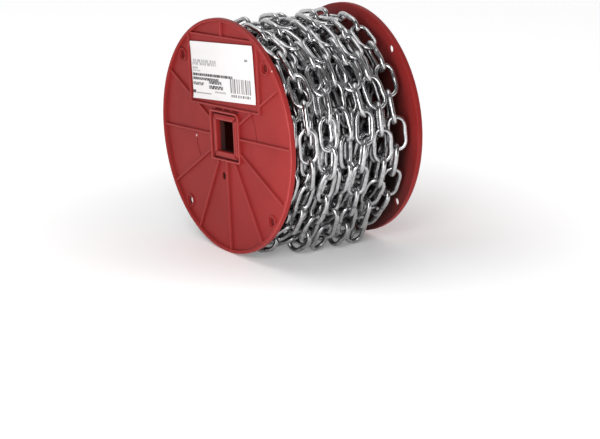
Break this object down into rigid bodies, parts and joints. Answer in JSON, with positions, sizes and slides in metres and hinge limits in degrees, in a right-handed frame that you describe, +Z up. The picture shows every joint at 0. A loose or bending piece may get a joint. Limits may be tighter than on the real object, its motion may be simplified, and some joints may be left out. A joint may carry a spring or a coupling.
{
  "type": "reel of steel chain",
  "caption": "Moulded plastic reel with ribbed flanges and a square hub, wound full of welded straight-link steel chain.",
  "frame": {"origin": "on the floor midway between the flanges, under the reel's axis", "axes": "+X along the reel's axis from the labelled flange to the plain one, +Z up"},
  "size_m": [0.139, 0.2078, 0.2078],
  "materials": {
    "red_plastic": "moulded, lightly scuffed",
    "steel": "bright zinc plating",
    "dark_steel": "zinc plating in deep shade",
    "paper": "matt white paper"
  },
  "bodies": {
    "root": {"near_flange": "red_plastic", "far_flange": "red_plastic", "barrel": "red_plastic", "label": "paper", "chain_core": "dark_steel", "chain_01": "steel", "chain_02": "steel", "chain_03": "steel", "chain_04": "steel", "chain_05": "steel", "chain_06": "steel", "chain_07": "steel", "chain_08": "steel", "chain_09": "steel", "chain_10": "steel", "chain_11": "steel", "chain_12": "steel", "chain_13": "steel", "chain_14": "steel", "chain_15": "steel", "chain_16": "steel", "chain_17": "steel", "chain_18": "steel", "chain_19": "steel", "chain_20": "steel", "chain_21": "steel", "chain_22": "steel", "chain_23": "steel", "chain_24": "steel", "inner_01": "dark_steel", "inner_02": "dark_steel", "inner_03": "dark_steel", "inner_04": "dark_steel", "inner_05": "dark_steel", "inner_06": "dark_steel", "inner_07": "dark_steel", "inner_08": "dark_steel", "inner_09": "dark_steel", "inner_10": "dark_steel", "inner_11": "dark_steel", "inner_12": "dark_steel", "inner_13": "dark_steel", "inner_14": "dark_steel", "inner_15": "dark_steel", "inner_16": "dark_steel", "inner_17": "dark_steel", "inner_18": "dark_steel", "inner_19": "dark_steel", "inner_20": "dark_steel", "inner_21": "dark_steel", "inner_22": "dark_steel", "inner_23": "dark_steel", "inner_24": "dark_steel"}
  },
  "joints": []
}
